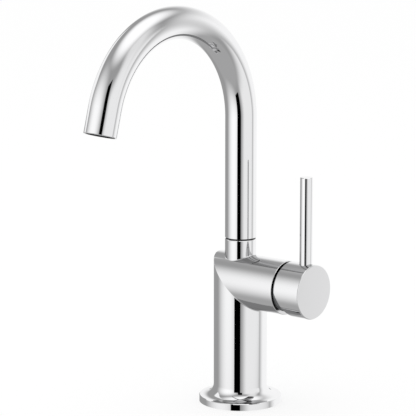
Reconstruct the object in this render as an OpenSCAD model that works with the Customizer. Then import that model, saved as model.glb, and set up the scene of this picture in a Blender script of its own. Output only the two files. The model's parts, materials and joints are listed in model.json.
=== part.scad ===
// Gooseneck bar faucet with a side lever.
// Origin on the column's axis at the underside of the foot, +Z up,
// the spout reaches towards -Y and the barrel with the lever points to +X.
// All sizes are in millimetres and degrees.

/* [Body] */
// Diameter of the column and of the barrel
body_d = 38.1; // [37:0.1:42]
// Diameter of the foot flange
flange_d = 58.8; // [56:0.1:70]
// Height of the flange's upright rim
flange_rim_h = 4.8; // [3.5:0.1:8]
// Radius of the concave flare from the flange to the column
flare_r = 8; // [4:0.5:10]
// Bevel on the flange's top edge
flange_bevel = 0.4; // [0.2:0.1:0.8]
// Height of the barrel's axis above the deck
barrel_axis_z = 88.4; // [84:0.1:110]
// Distance from the column's axis to the barrel's rim
barrel_reach = 42.6; // [41:0.1:50]
// Bevel on the barrel's rim
barrel_bevel = 0.3; // [0.2:0.1:0.6]

/* [Foot] */
// Bore of the mounting thread in the foot
mount_thread_d = 28.4; // [24:0.1:29]
// Length of the mounting thread
mount_thread_l = 18; // [12:0.5:24]
// Diameter of the hose chamber above the thread
chamber_d = 30.4; // [30:0.1:32]
// Length of the hose chamber
chamber_l = 40; // [30:0.5:42]
// Bore of each supply inlet's thread
inlet_thread_d = 9; // [8:0.1:9.6]
// Length of each supply inlet's thread
inlet_thread_l = 10; // [8:0.5:11]
// Distance of each supply inlet from the column's axis
inlet_offset = 8; // [7.5:0.1:8.5]
// Inner diameter of the base gasket
gasket_inner_d = 44; // [40:0.5:46]
// Outer diameter of the base gasket
gasket_outer_d = 54; // [50:0.5:55]
// Thickness of the base gasket
gasket_t = 2; // [1.5:0.1:3]

/* [Spout] */
// Outer diameter of the spout tube and of the collar
tube_d = 22.2; // [22:0.1:24]
// Wall of the spout tube
tube_wall = 1.2; // [1:0.1:1.4]
// Height of the collar above the top of the barrel
collar_h = 10.9; // [9:0.1:16]
// Height of the dark seam between collar and spout
seam_h = 0.9; // [0.7:0.1:1.5]
// How far the washer lies back from the tube's face
seam_recess = 0.5; // [0.3:0.1:0.8]
// Length of the straight riser above the seam
riser_l = 85.6; // [60:0.1:140]
// Radius of the arch at the tube's centre line
arch_r = 70.7; // [50:0.1:95]
// Angle that the arch turns through
arch_sweep = 164.3; // [120:0.1:180]
// Length of the straight tip after the arch
tip_l = 17.8; // [16:0.1:40]
// Bevel on the ends of the spout tube and of the collar
tube_bevel = 0.3; // [0.1:0.05:0.4]

/* [Swivel] */
// Diameter of the spigot's threaded foot in the collar
spigot_foot_d = 18; // [17.6:0.1:18.4]
// Diameter of the spigot's post in the spout
spigot_post_d = 16.6; // [16:0.1:16.8]
// Length of the spigot's post above the collar
spigot_post_l = 32; // [30:0.5:40]
// Water bore of the spigot
spigot_bore_d = 10; // [8:0.1:11]
// Inner diameter of the sleeve in the spout
sleeve_bore_d = 17.4; // [17.2:0.05:17.8]
// How far the sleeve reaches past the top of the spigot
sleeve_over = 5; // [2:0.5:10]
// Height of each bearing ring
bearing_h = 3; // [2:0.1:4]
// Width of each O-ring groove
o_groove_h = 2.3; // [2.1:0.1:2.6]
// Thickness of the snap ring
snap_t = 1.2; // [1:0.1:1.3]
// Length of the spigot's threaded foot in the collar
spigot_foot_l = 18; // [17:0.1:18]

/* [Aerator] */
// How far the aerator lies inside the tube's end
aerator_recess = 0.8; // [0.3:0.1:2]
// Length of the aerator housing
aerator_l = 9.4; // [9:0.1:11]
// Wall of the threaded seat around the aerator
aerator_seat_wall = 1.5; // [1.2:0.1:1.8]
// Thickness of the aerator washer
aerator_washer_t = 1.3; // [1:0.1:2]
// Diameter of each outlet hole
aerator_hole_d = 1.5; // [1:0.1:1.7]
// Distance between outlet holes
aerator_pitch = 2.1; // [1.9:0.1:2.3]
// Height of the step that carries the jet disc, above the housing's lower end
aerator_step_h = 4.2; // [3.8:0.1:4.4]

/* [Cartridge] */
// Depth of the cartridge's seat from the barrel's rim
seat_depth = 30.6; // [30.2:0.1:31]
// Diameter of the cartridge's bore in the barrel
cartridge_bore_d = 28.4; // [28.2:0.1:29]
// Diameter of the threaded mouth for the nut and the bonnet
mouth_d = 32; // [31.6:0.1:32.6]
// Depth of the threaded mouth
mouth_depth = 12.6; // [12.4:0.1:13]
// Diameter of the cartridge's base and housing
cartridge_d = 28; // [27.8:0.1:28]
// Thickness of the cartridge's base
cartridge_base_t = 4; // [3.5:0.1:4.4]
// Thickness of each ceramic disc
ceramic_t = 3; // [2.6:0.1:3.2]
// Diameter of the fixed ceramic disc
fixed_disc_d = 25; // [24.6:0.1:25.2]
// Diameter of the moving ceramic disc
moving_disc_d = 20.4; // [20:0.1:20.6]
// Distance of the ports from the cartridge's axis, sideways
port_side = 6; // [5.8:0.1:6.2]
// Height of the inlet ports above the cartridge's axis
port_up = 3.4; // [3:0.1:3.8]
// Depth of the outlet port below the cartridge's axis
port_down = 6; // [5.8:0.1:6.4]
// Diameter of the water ports
port_d = 5.2; // [4:0.1:5.4]
// Diameter of the rotor's neck
rotor_neck_d = 17.6; // [17.2:0.1:17.8]
// Distance from the lever's pivot to the centre of the stem's ball
stem_arm = 12; // [11.8:0.1:12.2]
// Diameter of the stem's ball
stem_ball_d = 4.4; // [4:0.1:4.6]
// Diameter of the stem's pivot pin
pivot_pin_d = 3; // [2.4:0.1:3.4]
// Width of the stem where it enters the hub
stem_w = 6; // [5.4:0.1:6.2]
// Height of the stem where it enters the hub
stem_h = 7; // [6:0.1:7.4]
// How far the bonnet stands out of the barrel
bonnet_rise = 4.4; // [4:0.1:4.6]

/* [Handle] */
// Gap between the barrel's rim and the hub's upper lip
hub_gap = 2.2; // [1.8:0.1:3]
// Length of the hub from its upper lip to its face
hub_l = 20.8; // [20:0.1:26]
// Depth of the hub's hollow from its upper lip
hub_hollow_l = 7.2; // [6.8:0.1:8]
// Metal left between the end of the stem and the hub's face
hub_face_t = 4.6; // [3:0.1:5]
// Wall of the hub's lip
hub_wall = 1.45; // [1:0.05:1.6]
// Slant of the hub's lower lip
hub_relief = 21.8; // [20.5:0.1:26]
// Rounding of the edge of the hub's face
hub_round = 0.6; // [0.2:0.1:1.5]
// How far the lever tilts from shut to full flow
flow_tilt = 20; // [16:1:20]
// Diameter of the lever rod
lever_d = 8.85; // [7:0.05:10]
// Height of the lever rod above the hub
lever_l = 60.7; // [40:0.1:90]
// Distance from the hub's face to the lever rod's axis
lever_setback = 7.3; // [6:0.1:8]
// Bevel on the lever rod's top edge
lever_bevel = 0.3; // [0.1:0.1:1]
// Diameter of the lever rod's threaded tail
lever_tail_d = 6; // [4:0.1:6]
// Diameter of the set screw
set_screw_d = 5; // [4:0.1:6]

/* [Clearances] */
// Running clearance on the radius of a shaft in its hole
running_gap = 0.05; // [0.02:0.01:0.1]
// Clearance around pieces that are pressed, screwed or dropped in
loose_gap = 0.05; // [0.02:0.01:0.1]
// Free space between pieces that move past each other
moving_gap = 0.3; // [0.25:0.05:0.4]

/* [Hidden] */
$fn = 96;

body_r = body_d / 2;
flange_r = flange_d / 2;
flare_fit_r = min(flare_r, flange_r - body_r - flange_bevel);
tube_r = tube_d / 2;
tube_bore_r = tube_r - tube_wall;
over = 1;

// The tip swells by a hair where it takes over from the arch, so that the two
// round surfaces cross on one clean line
tip_lap = 0.5;
hair = 0.03;

// Heights on the column
chamber_top_z = mount_thread_l + chamber_l;
barrel_top_z = barrel_axis_z + body_r;
collar_top_z = barrel_top_z + collar_h;
spout_foot_z = collar_top_z + seam_h + running_gap;
arch_centre_z = collar_top_z + seam_h + riser_l;

// Swivel: the rings sit on the post at these heights above the collar
spigot_foot_z = collar_top_z - spigot_foot_l;
spigot_bore_r = spigot_bore_d / 2;
spigot_post_r = spigot_post_d / 2;
spigot_top_z = collar_top_z + spigot_post_l;
sleeve_bore_r = sleeve_bore_d / 2;
bearing_groove_depth = 0.7;
o_groove_depth = 1.3;
snap_groove_depth = 0.9;
snap_reach = 0.4;
bearing_groove_r = spigot_post_r - bearing_groove_depth;
o_groove_r = spigot_post_r - o_groove_depth;
snap_groove_r = spigot_post_r - snap_groove_depth;
snap_outer_r = sleeve_bore_r + snap_reach;
ring_pitch = spigot_post_l / 6;
bearing_zs = [collar_top_z + 0.6 * ring_pitch, collar_top_z + 5 * ring_pitch];
o_ring_zs = [collar_top_z + 1.9 * ring_pitch, collar_top_z + 3 * ring_pitch];
snap_z = collar_top_z + 4 * ring_pitch;

// Water passages
port_r = port_d / 2;
port_points = [[port_side, port_up], [-port_side, port_up], [0, -port_down]];
inlet_sides = [inlet_offset, -inlet_offset];
riser_passage_r = 3;
outlet_passage_r = 3.2;
outlet_passage_x = -5;
peg_r = 1.2;
peg_l = 3;
peg_side = 9.5;
peg_down = 5.5;
peg_points = [[peg_side, -peg_down], [-peg_side, -peg_down]];
seal_w = 1.6;
seal_t = 1.4;
seal_slack = 0.3;

// Cartridge stack along the barrel's axis, from the seat outwards
cartridge_r = cartridge_d / 2;
cartridge_bore_r = cartridge_bore_d / 2;
mouth_r = mouth_d / 2;
mouth_x = barrel_reach - mouth_depth;
seat_x = barrel_reach - seat_depth;
fixed_disc_x = seat_x + cartridge_base_t;
moving_disc_x = fixed_disc_x + ceramic_t;
carrier_x = moving_disc_x + ceramic_t;
carrier_plate_t = 3;
carrier_block_t = 3;
carrier_top_x = carrier_x + carrier_plate_t + carrier_block_t;
rotor_foot_x = carrier_x + carrier_plate_t + moving_gap;
ball_depth = 1.8;
neck_foot_l = 4.2;
neck_head_l = 4;
pivot_x = carrier_top_x - ball_depth + stem_arm;
neck_x = pivot_x - neck_foot_l;
neck_top_x = pivot_x + neck_head_l;
housing_wall = 1.2;
housing_bore_r = cartridge_r - housing_wall;
rotor_r = housing_bore_r - moving_gap;
rotor_neck_r = rotor_neck_d / 2;
lip_x = neck_x + moving_gap;
housing_drop = 1;
housing_top_x = pivot_x - housing_drop;
housing_flange_t = 2.5;
mouth_gap = 0.2;
housing_flange_r = mouth_r - mouth_gap;
rotor_groove_t = 1.4;
rotor_groove_depth = 1.2;
rotor_groove_x = housing_top_x - 2.2;

// Stem: its arm leans back by half of the tilt when the lever is shut
half_tilt = flow_tilt / 2;
disc_shut_z = -stem_arm * sin(half_tilt);
stem_ball_r = stem_ball_d / 2;
ball_step = 0.2;
stem_arm_r = stem_ball_r - ball_step;
stem_boss_r = 4;
stem_inner_w = 6;
stem_slot_gap = 0.2;
stem_slot_w = stem_inner_w + 2 * stem_slot_gap;
stem_slot_h = 11;
carrier_w = 12;
carrier_h = 13;
pocket_r = 6.6;
pocket_drop = 1.6;
pocket_depth = 1.6;
inlet_hole_step = 0.6;
inlet_hole_r = port_r - inlet_hole_step;

// Nut and bonnet in the barrel's mouth
nut_x = mouth_x + housing_flange_t;
nut_l = 6.8;
nut_slack = 0.15;
nut_inner_r = cartridge_r + nut_slack;
bonnet_skirt_l = barrel_reach - nut_x - nut_l - moving_gap;
bonnet_r = 17.2;
bonnet_t = 2;
bonnet_skirt_t = 1.3;
bonnet_hole_gap = 0.8;
bonnet_hole_r = rotor_neck_r + bonnet_hole_gap;

// Hub and lever
hub_lip_x = barrel_reach + hub_gap;
hub_face_x = hub_lip_x + hub_l;
hub_floor_x = hub_lip_x + hub_hollow_l;
hub_hollow_r = body_r - hub_wall;
lever_x = hub_face_x - lever_setback;
lever_r = lever_d / 2;
lever_top_z = barrel_top_z + lever_l;
lever_seat_depth = 1.5;
lever_seat_z = barrel_top_z - lever_seat_depth;
lever_tail_l = 9.5;
stem_end_x = hub_face_x - hub_face_t;
set_screw_x = (hub_floor_x + stem_end_x) / 2;
set_screw_l = 9;
set_screw_socket_l = 3;

// Aerator, measured from the tube's end
seat_ring_r = tube_bore_r - loose_gap;
aerator_r = seat_ring_r - aerator_seat_wall;
aerator_top = aerator_recess + aerator_l;
aerator_floor_t = 1.4;
aerator_step = aerator_recess + aerator_step_h;
aerator_rim_t = 0.9;
aerator_inner_wall = 1.7;
jet_rim_h = 3.8;
screen_t = 0.6;

// ---- Shapes that repeat ----

// Places children that are drawn along +Z on the barrel's axis, pointing to +X
module on_barrel(x) {
    translate([x, 0, barrel_axis_z])
        rotate([0, 90, 0])
            children();
}

// Moves children on the barrel's axis sideways and upwards
module off_axis(side, up) {
    translate([-up, side, 0])
        children();
}

// Places children in the upright plane of the spout, about the arch's centre
module in_arch_plane() {
    translate([0, -arch_r, arch_centre_z])
        rotate([90, 0, 90])
            children();
}

// Places children where the arch ends, +Y pointing along the tip
module at_arch_end() {
    in_arch_plane()
        rotate(arch_sweep)
            children();
}

// Places children at the outlet, +Z pointing up into the tube
module at_outlet() {
    at_arch_end()
        translate([arch_r, tip_l, 0])
            rotate([90, 0, 0])
                children();
}

module ring(outer_r, inner_r, h) {
    difference() {
        cylinder(r = outer_r, h = h);
        translate([0, 0, -over])
            cylinder(r = inner_r, h = h + 2 * over);
    }
}

// Round bar with its top edge bevelled
module bevelled_bar(r, h, bevel) {
    cylinder(r = r, h = h - bevel);
    translate([0, 0, h - bevel])
        cylinder(r1 = r, r2 = r - bevel, h = bevel);
}

// O-ring that fills the space between two radii
module o_ring(inner_r, outer_r) {
    section_r = (outer_r - inner_r) / 2;
    rotate_extrude()
        translate([inner_r + section_r, 0])
            circle(r = section_r);
}

// Holes on a hexagonal grid inside a circle
module hex_holes(pitch, hole_r, within_r, h) {
    reach = ceil(within_r / pitch);
    for (row = [-reach : reach], col = [-reach : reach]) {
        x = pitch * (col + row / 2);
        y = pitch * row * sin(60);
        if (norm([x, y]) + hole_r < within_r)
            translate([x, y, -over])
                cylinder(r = hole_r, h = h + 2 * over);
    }
}

// ---- Body ----

// Flange with its concave flare into the column
module foot() {
    rotate_extrude() {
        difference() {
            square([flange_r, flange_rim_h]);
            translate([flange_r, flange_rim_h])
                rotate(45)
                    square(sqrt(2) * flange_bevel, center = true);
        }
        difference() {
            square([body_r + flare_fit_r, flange_rim_h + flare_fit_r]);
            translate([body_r + flare_fit_r, flange_rim_h + flare_fit_r])
                circle(r = flare_fit_r);
        }
    }
}

// Everything on the far side of the mitre plane, above it or below it
module mitre_half(side) {
    translate([0, 0, barrel_axis_z])
        rotate([0, 45, 0])
            translate([0, 0, side * 2 * barrel_reach])
                cube(4 * barrel_reach, center = true);
}

// Column and barrel, two equal round bars that meet on a 45 degree mitre
module elbow() {
    difference() {
        cylinder(r = body_r, h = barrel_top_z + over);
        mitre_half(1);
    }
    difference() {
        on_barrel(-body_r - over) {
            length = barrel_reach + body_r + over;
            bevelled_bar(body_r, length, barrel_bevel);
        }
        mitre_half(-1);
    }
}

module water_passages() {
    for (side = inlet_sides) {
        translate([0, side, chamber_top_z - over])
            cylinder(d = inlet_thread_d, h = inlet_thread_l + over);
        translate([0, side, chamber_top_z])
            cylinder(r = riser_passage_r, h = barrel_axis_z + port_up - chamber_top_z);
    }
    for (p = port_points) {
        start_x = p[1] > 0 ? 0 : outlet_passage_x;
        on_barrel(start_x)
            off_axis(p[0], p[1])
                cylinder(r = port_r, h = seat_x + over - start_x);
    }
    translate([outlet_passage_x, 0, barrel_axis_z - port_down])
        cylinder(r = outlet_passage_r, h = spigot_foot_z + over - barrel_axis_z + port_down);
}

module cartridge_cavity() {
    on_barrel(seat_x)
        cylinder(r = cartridge_bore_r, h = barrel_reach);
    on_barrel(mouth_x)
        cylinder(r = mouth_r, h = barrel_reach);
    for (p = peg_points)
        on_barrel(seat_x - peg_l)
            off_axis(p[0], p[1])
                cylinder(r = peg_r + loose_gap, h = peg_l + over);
}

module body_casting() {
    color("silver")
        difference() {
            union() {
                foot();
                elbow();
                translate([0, 0, barrel_axis_z])
                    bevelled_bar(tube_r, collar_top_z - barrel_axis_z, tube_bevel);
            }
            translate([0, 0, -over])
                cylinder(d = mount_thread_d, h = mount_thread_l + 2 * over);
            translate([0, 0, mount_thread_l])
                cylinder(d = chamber_d, h = chamber_l);
            translate([0, 0, -over])
                ring(gasket_outer_d / 2 + loose_gap, gasket_inner_d / 2 - loose_gap, gasket_t + over);
            translate([0, 0, spigot_foot_z])
                cylinder(r = spigot_foot_d / 2 + loose_gap, h = collar_top_z);
            water_passages();
            cartridge_cavity();
        }
}

module base_gasket() {
    color("dimgray")
        ring(gasket_outer_d / 2, gasket_inner_d / 2, gasket_t);
}

// ---- Swivel ----

module swivel_spigot() {
    color("goldenrod")
        difference() {
            union() {
                translate([0, 0, spigot_foot_z])
                    cylinder(d = spigot_foot_d, h = collar_top_z - spigot_foot_z);
                translate([0, 0, spigot_foot_z])
                    bevelled_bar(spigot_post_r, spigot_top_z - spigot_foot_z, tube_bevel);
            }
            translate([0, 0, spigot_foot_z - over])
                cylinder(r = spigot_bore_r, h = spigot_top_z);
            for (z = bearing_zs)
                translate([0, 0, z])
                    ring(spigot_post_r + over, bearing_groove_r, bearing_h);
            for (z = o_ring_zs)
                translate([0, 0, z])
                    ring(spigot_post_r + over, o_groove_r, o_groove_h);
            translate([0, 0, snap_z])
                ring(spigot_post_r + over, snap_groove_r, snap_t + loose_gap);
        }
}

module spigot_bearing_rings() {
    color("ivory")
        for (z = bearing_zs)
            translate([0, 0, z])
                ring(sleeve_bore_r - running_gap, bearing_groove_r, bearing_h);
}

module spigot_o_rings() {
    color("black")
        for (z = o_ring_zs)
            translate([0, 0, z + o_groove_h / 2])
                o_ring(o_groove_r, sleeve_bore_r - running_gap);
}

// Open ring, so that it springs over the post
module snap_ring() {
    gap_w = 4;
    color("gray")
        translate([0, 0, snap_z])
            difference() {
                ring(snap_outer_r, snap_groove_r, snap_t);
                translate([0, -gap_w / 2, -over])
                    cube([snap_outer_r + over, gap_w, snap_t + 2 * over]);
            }
}

module swivel_washer() {
    color("black")
        translate([0, 0, collar_top_z])
            ring(tube_r - seam_recess, spigot_post_r + loose_gap, seam_h);
}

// ---- Spout ----

// Round bar along the riser, the arch and the tip
module spout_bar(r, end_over) {
    riser_bar_l = arch_centre_z - spout_foot_z + end_over;
    in_arch_plane() {
        translate([arch_r, 0, 0])
            rotate([90, 0, 0])
                cylinder(r = r, h = riser_bar_l);
        rotate_extrude(angle = arch_sweep)
            translate([arch_r, 0])
                circle(r = r);
    }
    at_outlet()
        rotate_extrude()
            polygon([
                [0, -end_over], [r, -end_over], [r, tip_l - tip_lap], [r + hair, tip_l],
                [r - hair, tip_l + tip_lap], [0, tip_l + tip_lap]
            ]);
}

// Cuts the outer edge of a tube's end, which faces -Z
module end_bevel(r, bevel) {
    difference() {
        translate([0, 0, -over])
            cylinder(r = r + over, h = bevel + over);
        cylinder(r1 = r - bevel, r2 = r, h = bevel);
        translate([0, 0, -2 * over])
            cylinder(r = r - bevel, h = 3 * over);
    }
}

module spout_tube() {
    color("silver")
        difference() {
            spout_bar(tube_r, 0);
            spout_bar(tube_bore_r, over);
            translate([0, 0, spout_foot_z])
                end_bevel(tube_r, tube_bevel);
            at_outlet()
                end_bevel(tube_r, tube_bevel);
        }
}

module spout_sleeve() {
    color("goldenrod")
        translate([0, 0, spout_foot_z])
            difference() {
                length = spigot_top_z + sleeve_over - spout_foot_z;
                ring(tube_bore_r - loose_gap, sleeve_bore_r, length);
                translate([0, 0, snap_z - spout_foot_z - moving_gap / 2])
                    cylinder(r = snap_outer_r + 2 * loose_gap, h = snap_t + moving_gap);
            }
}

// ---- Aerator ----

module aerator_seat() {
    washer_top = aerator_top + aerator_washer_t;
    inset = 1;
    ledge_w = 1.5;
    ledge_t = 1.6;
    color("goldenrod")
        at_outlet()
            translate([0, 0, aerator_recess + inset])
                difference() {
                    ring(seat_ring_r, aerator_r - ledge_w, washer_top + ledge_t - inset - aerator_recess);
                    translate([0, 0, -over])
                        cylinder(r = aerator_r + loose_gap, h = washer_top - aerator_recess - inset + over);
                }
}

module aerator_housing() {
    bore_r = aerator_r - aerator_inner_wall;
    color("dimgray")
        at_outlet()
            translate([0, 0, aerator_recess])
                difference() {
                    cylinder(r = aerator_r, h = aerator_l);
                    translate([0, 0, aerator_floor_t])
                        cylinder(r = bore_r, h = aerator_l);
                    translate([0, 0, aerator_step - aerator_recess])
                        cylinder(r = aerator_r - aerator_rim_t, h = aerator_l);
                    hex_holes(aerator_pitch, aerator_hole_d / 2, bore_r, aerator_floor_t);
                }
}

module aerator_jet_disc() {
    disc_r = aerator_r - aerator_rim_t - loose_gap;
    disc_t = 1.6;
    rim_t = 1;
    jets = 12;
    jet_r = 0.6;
    jet_inset = 2.6;
    color("white")
        at_outlet()
            translate([0, 0, aerator_step])
                difference() {
                    cylinder(r = disc_r, h = jet_rim_h);
                    translate([0, 0, disc_t])
                        cylinder(r = disc_r - rim_t, h = jet_rim_h);
                    for (i = [0 : jets - 1])
                        rotate(360 * i / jets)
                            translate([disc_r - jet_inset, 0, -over])
                                cylinder(r = jet_r, h = disc_t + 2 * over);
                }
}

module aerator_screen() {
    screen_r = aerator_r - aerator_rim_t - loose_gap;
    rim_w = 1;
    color("lightgray")
        at_outlet()
            translate([0, 0, aerator_step + jet_rim_h])
                difference() {
                    cylinder(r = screen_r, h = screen_t);
                    hex_holes(aerator_pitch, aerator_hole_d / 2, screen_r - rim_w, screen_t);
                }
}

module aerator_washer() {
    washer_w = 2.2;
    color("black")
        at_outlet()
            translate([0, 0, aerator_top])
                ring(aerator_r, aerator_r - washer_w, aerator_washer_t);
}

// ---- Cartridge, held still in the barrel ----

module cartridge_base() {
    color("white")
        on_barrel(seat_x)
            difference() {
                union() {
                    cylinder(r = cartridge_r, h = cartridge_base_t);
                    for (p = peg_points)
                        off_axis(p[0], p[1])
                            translate([0, 0, -peg_l + moving_gap])
                                cylinder(r = peg_r, h = peg_l);
                }
                for (p = port_points)
                    off_axis(p[0], p[1])
                        translate([0, 0, -over]) {
                            cylinder(r = port_r, h = cartridge_base_t + 2 * over);
                            cylinder(r = port_r + seal_w, h = over + seal_t);
                        }
            }
}

module port_seals() {
    color("black")
        on_barrel(seat_x)
            for (p = port_points)
                off_axis(p[0], p[1])
                    ring(port_r + seal_w, port_r + seal_slack, seal_t);
}

module fixed_ceramic_disc() {
    color("white")
        on_barrel(fixed_disc_x)
            difference() {
                cylinder(d = fixed_disc_d, h = ceramic_t);
                for (p = port_points)
                    off_axis(p[0], p[1])
                        translate([0, 0, -over])
                            cylinder(r = p[1] > 0 ? inlet_hole_r : port_r, h = ceramic_t + 2 * over);
            }
}

module cartridge_housing() {
    color("white")
        on_barrel(fixed_disc_x)
            difference() {
                union() {
                    cylinder(r = cartridge_r, h = housing_top_x - fixed_disc_x);
                    translate([0, 0, mouth_x - fixed_disc_x])
                        cylinder(r = housing_flange_r, h = housing_flange_t);
                }
                translate([0, 0, -over])
                    cylinder(r = housing_bore_r, h = lip_x - fixed_disc_x + over);
                cylinder(r = rotor_neck_r + running_gap, h = barrel_reach);
            }
}

module bonnet_nut() {
    notch_w = 3;
    notch_depth = 1.5;
    color("goldenrod")
        on_barrel(nut_x)
            difference() {
                ring(mouth_r - loose_gap, nut_inner_r, nut_l);
                for (i = [0 : 5])
                    rotate(60 * i)
                        translate([0, -notch_w / 2, nut_l - notch_depth])
                            cube([mouth_r + over, notch_w, notch_depth + over]);
            }
}

// Dome about the lever's pivot, with a threaded skirt in the barrel's mouth
module bonnet() {
    skirt_r = mouth_r - loose_gap;
    pivot_back = barrel_reach - pivot_x;
    color("silver")
        on_barrel(barrel_reach)
            rotate_extrude() {
                intersection() {
                    translate([bonnet_hole_r, 0])
                        square([bonnet_r, bonnet_rise]);
                    difference() {
                        translate([0, -pivot_back])
                            circle(r = bonnet_r);
                        intersection() {
                            translate([0, -pivot_back])
                                circle(r = bonnet_r - bonnet_t);
                            translate([-bonnet_r, -bonnet_r])
                                square([2 * bonnet_r, bonnet_r + bonnet_rise - bonnet_t]);
                        }
                    }
                }
                translate([skirt_r - bonnet_skirt_t, -bonnet_skirt_l])
                    square([bonnet_skirt_t, bonnet_skirt_l]);
            }
}

// ---- Cartridge, turning with the lever ----

module cartridge_rotor() {
    travel = 2 * abs(disc_shut_z);
    color("ivory")
        difference() {
            union() {
                on_barrel(rotor_foot_x)
                    cylinder(r = rotor_r, h = neck_x - rotor_foot_x);
                on_barrel(rotor_foot_x)
                    cylinder(r = rotor_neck_r, h = neck_top_x - rotor_foot_x);
            }
            on_barrel(rotor_foot_x) {
                slot_h = carrier_h + travel + 2 * moving_gap;
                slot_w = carrier_w + 2 * moving_gap;
                slot_l = carrier_block_t + 2 * moving_gap;
                translate([0, 0, slot_l / 2 - over])
                    cube([slot_h, slot_w, slot_l + over], center = true);
                translate([0, 0, barrel_reach / 2])
                    cube([stem_slot_h, stem_slot_w, barrel_reach], center = true);
            }
            on_barrel(rotor_groove_x)
                ring(rotor_neck_r + over, rotor_neck_r - rotor_groove_depth, rotor_groove_t);
            translate([pivot_x, 0, barrel_axis_z])
                rotate([90, 0, 0])
                    cylinder(d = pivot_pin_d + 2 * loose_gap, h = 3 * rotor_neck_r, center = true);
        }
}

module stem_pivot_pin() {
    inset = 0.5;
    color("gray")
        translate([pivot_x, 0, barrel_axis_z])
            rotate([90, 0, 0])
                cylinder(d = pivot_pin_d, h = 2 * (rotor_neck_r - inset), center = true);
}

module rotor_o_ring() {
    color("black")
        on_barrel(rotor_groove_x + rotor_groove_t / 2)
            o_ring(rotor_neck_r - rotor_groove_depth, rotor_neck_r);
}

// ---- Lever ----

module cartridge_stem() {
    color("gray")
        difference() {
            union() {
                translate([pivot_x, 0, barrel_axis_z])
                    rotate([0, -90 - half_tilt, 0]) {
                        cylinder(r = stem_arm_r, h = stem_arm);
                        translate([0, 0, stem_arm])
                            sphere(r = stem_ball_r);
                    }
                translate([pivot_x, 0, barrel_axis_z])
                    rotate([90, 0, 0])
                        cylinder(r = stem_boss_r, h = stem_inner_w, center = true);
                translate([pivot_x, -stem_w / 2, barrel_axis_z - stem_h / 2])
                    cube([stem_end_x - pivot_x, stem_w, stem_h]);
            }
            translate([pivot_x, 0, barrel_axis_z])
                rotate([90, 0, 0])
                    cylinder(d = pivot_pin_d + 2 * running_gap, h = 2 * stem_w, center = true);
        }
}

// Hub with its face edge rounded, before it is cut
module hub_blank() {
    on_barrel(hub_lip_x)
        rotate_extrude() {
            square([body_r - hub_round, hub_l]);
            square([body_r, hub_l - hub_round]);
            translate([body_r - hub_round, hub_l - hub_round])
                circle(r = hub_round);
        }
}

module handle_hub() {
    slack = 2 * loose_gap;
    pocket_l = stem_end_x + loose_gap - hub_floor_x;
    color("silver")
        difference() {
            hub_blank();
            on_barrel(hub_lip_x - over)
                cylinder(r = hub_hollow_r, h = hub_hollow_l + over);
            translate([hub_lip_x, 0, barrel_axis_z])
                rotate([0, -hub_relief, 0])
                    translate([-2 * body_r, -2 * body_r, -4 * body_r])
                        cube([2 * body_r, 4 * body_r, 4 * body_r]);
            translate([hub_floor_x - over, -(stem_w + slack) / 2, barrel_axis_z - (stem_h + slack) / 2])
                cube([pocket_l + over, stem_w + slack, stem_h + slack]);
            translate([lever_x, 0, lever_seat_z])
                cylinder(r = lever_r + loose_gap, h = body_r);
            translate([lever_x, 0, lever_seat_z - lever_tail_l - moving_gap])
                cylinder(d = lever_tail_d + slack, h = body_r);
            translate([set_screw_x, 0, barrel_axis_z])
                rotate([-90, 0, 0])
                    cylinder(d = set_screw_d + slack, h = body_r + over);
        }
}

module lever_rod() {
    color("silver") {
        translate([lever_x, 0, lever_seat_z])
            bevelled_bar(lever_r, lever_top_z - lever_seat_z, lever_bevel);
        translate([lever_x, 0, lever_seat_z - lever_tail_l])
            cylinder(d = lever_tail_d, h = lever_tail_l + over);
    }
}

module handle_set_screw() {
    socket_d = set_screw_d / 2;
    color("gray")
        translate([set_screw_x, stem_w / 2, barrel_axis_z])
            rotate([-90, 0, 0])
                difference() {
                    cylinder(d = set_screw_d, h = set_screw_l);
                    translate([0, 0, set_screw_l - set_screw_socket_l])
                        cylinder(d = socket_d, h = set_screw_socket_l + over, $fn = 6);
                }
}

// ---- Pieces that slide with the moving disc ----

// Places children on the disc's axis with the lever shut
module on_disc(x) {
    on_barrel(x)
        off_axis(0, disc_shut_z)
            children();
}

module moving_ceramic_disc() {
    color("white")
        on_disc(moving_disc_x)
            difference() {
                cylinder(d = moving_disc_d, h = ceramic_t);
                off_axis(0, -pocket_drop)
                    translate([0, 0, -over])
                        cylinder(r = pocket_r, h = pocket_depth + over);
            }
}

module disc_carrier() {
    socket_l = 4.8;
    plate_inset = 0.6;
    color("gold")
        on_disc(carrier_x)
            difference() {
                union() {
                    cylinder(d = moving_disc_d - 2 * plate_inset, h = carrier_plate_t);
                    translate([-carrier_h / 2, -carrier_w / 2, 0])
                        cube([carrier_h, carrier_w, carrier_plate_t + carrier_block_t]);
                }
                translate([0, 0, carrier_plate_t + carrier_block_t - socket_l])
                    cylinder(r = stem_ball_r + moving_gap, h = socket_l + over);
            }
}

body_casting();
base_gasket();
swivel_spigot();
spigot_bearing_rings();
spigot_o_rings();
snap_ring();
swivel_washer();
cartridge_base();
port_seals();
fixed_ceramic_disc();
cartridge_housing();
bonnet_nut();
bonnet();
spout_tube();
spout_sleeve();
aerator_seat();
aerator_housing();
aerator_jet_disc();
aerator_screen();
aerator_washer();
cartridge_rotor();
stem_pivot_pin();
rotor_o_ring();
cartridge_stem();
handle_hub();
lever_rod();
handle_set_screw();
moving_ceramic_disc();
disc_carrier();
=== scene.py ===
"""Gooseneck bar faucet with a side lever, dressed around its packed CAD frame.

Everything is in metres and in the frame's own axes: +Z up, the origin on the column's axis at
the deck, the spout reaching towards -Y and the barrel with its lever pointing to +X.
"""

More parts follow.
